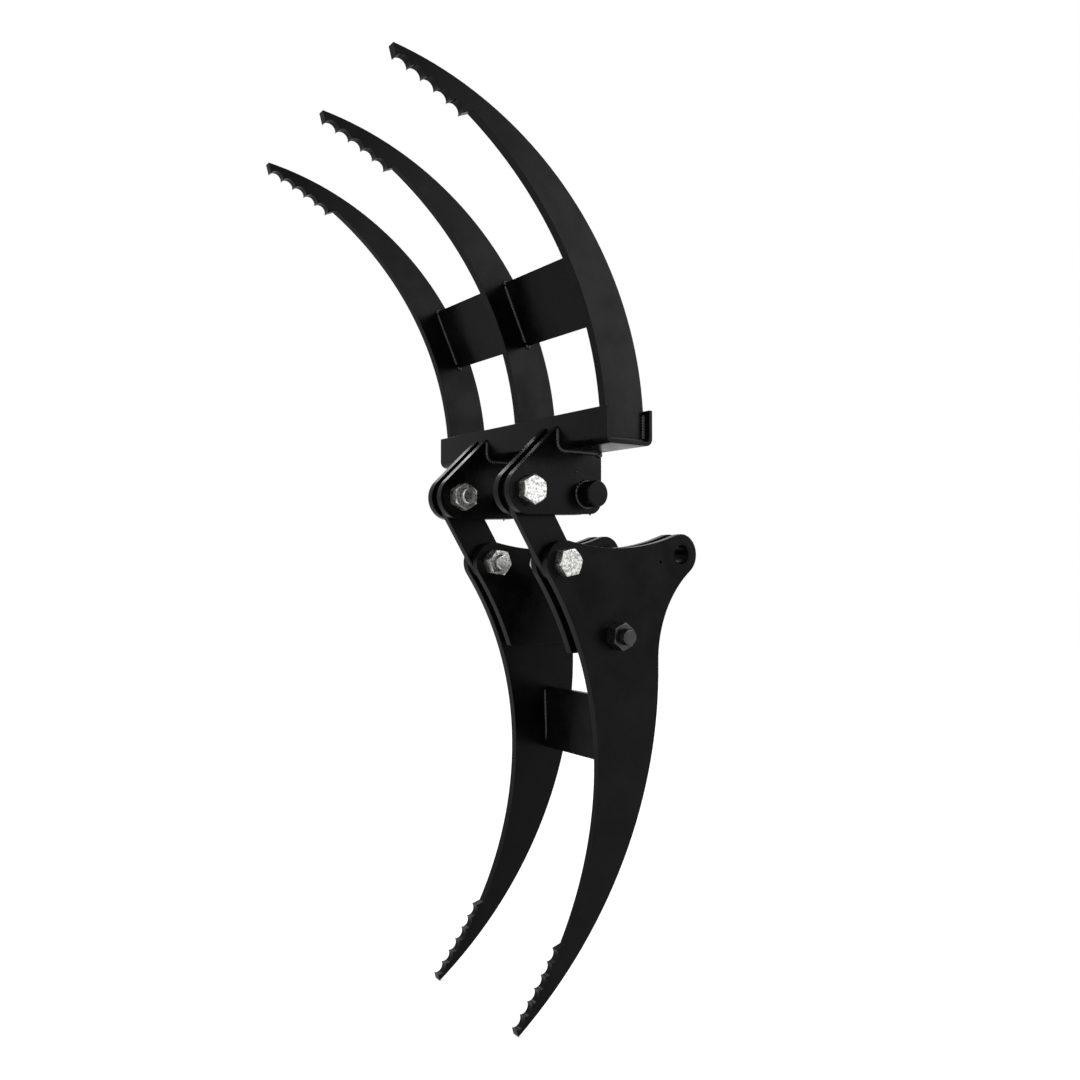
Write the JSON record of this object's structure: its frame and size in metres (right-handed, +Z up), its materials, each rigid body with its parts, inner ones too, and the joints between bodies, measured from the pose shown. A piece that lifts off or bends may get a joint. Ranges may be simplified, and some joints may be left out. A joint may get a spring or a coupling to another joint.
{
  "type": "log grapple",
  "caption": "Log grapple of welded plates: an upper jaw of curved serrated tines on a channel, joined by two flat links to a lower jaw of longer serrated tines with a rear pin bore.",
  "frame": {"origin": "middle of the lower jaw's rear bore, half way between the two jaw sides, where the machine's pin goes through", "axes": "+X from the jaw mouth back to the machine, +Y along every pin from the near side to the far side, +Z up from the lower tine tips to the upper tine tips"},
  "size_m": [0.3833, 0.284, 0.8111],
  "materials": {
    "black_paint": "semi-gloss black paint over plate steel, slightly pebbled",
    "zinc_plate": "dull zinc plate with dark specks",
    "black_bolt": "black oxide bolt with worn rims"
  },
  "bodies": {
    "lower_jaw": {"lower_tine_near": "black_paint", "lower_tine_far": "black_paint", "lower_cheek_near": "black_paint", "lower_cheek_far": "black_paint", "lower_cross_plate": "black_paint", "rear_bush_near": "black_paint", "rear_bush_far": "black_paint", "stop_bolt_near": "black_bolt", "stop_bolt_far": "black_bolt", "stop_nut_near": "black_bolt", "stop_nut_far": "black_bolt", "lower_pivot_bolt_near": "zinc_plate", "lower_pivot_bolt_far": "zinc_plate", "lower_pivot_nut_near": "zinc_plate", "lower_pivot_nut_far": "zinc_plate"},
    "link_near": {"link_near": "black_paint"},
    "link_far": {"link_far": "black_paint"},
    "upper_jaw": {"upper_tine_near": "black_paint", "upper_tine_middle": "black_paint", "upper_tine_far": "black_paint", "upper_cross_plate_near": "black_paint", "upper_cross_plate_far": "black_paint", "channel": "black_paint", "lug_near_outer": "black_paint", "lug_near_inner": "black_paint", "lug_far_inner": "black_paint", "lug_far_outer": "black_paint", "main_pin": "black_paint", "upper_pivot_bolt_near": "zinc_plate", "upper_pivot_bolt_far": "zinc_plate", "upper_pivot_nut_near": "zinc_plate", "upper_pivot_nut_far": "zinc_plate"}
  },
  "joints": [
    {"name": "near_link_swing", "type": "hinge", "parent": "lower_jaw", "child": "link_near", "pos_m": [-0.151, -0.06, -0.008], "axis": [0, -1, 0], "range_deg": [-15, 45]},
    {"name": "far_link_swing", "type": "hinge", "parent": "lower_jaw", "child": "link_far", "pos_m": [-0.151, 0.06, -0.008], "axis": [0, -1, 0], "range_deg": [-15, 45]},
    {"name": "upper_jaw_turn", "type": "hinge", "parent": "link_near", "child": "upper_jaw", "pos_m": [-0.19184, 0, 0.05787], "axis": [0, -1, 0], "range_deg": [-15, 150]}
  ],
  "couplings": [
    {"joint": "far_link_swing", "follows": "near_link_swing", "ratio": 1}
  ]
}
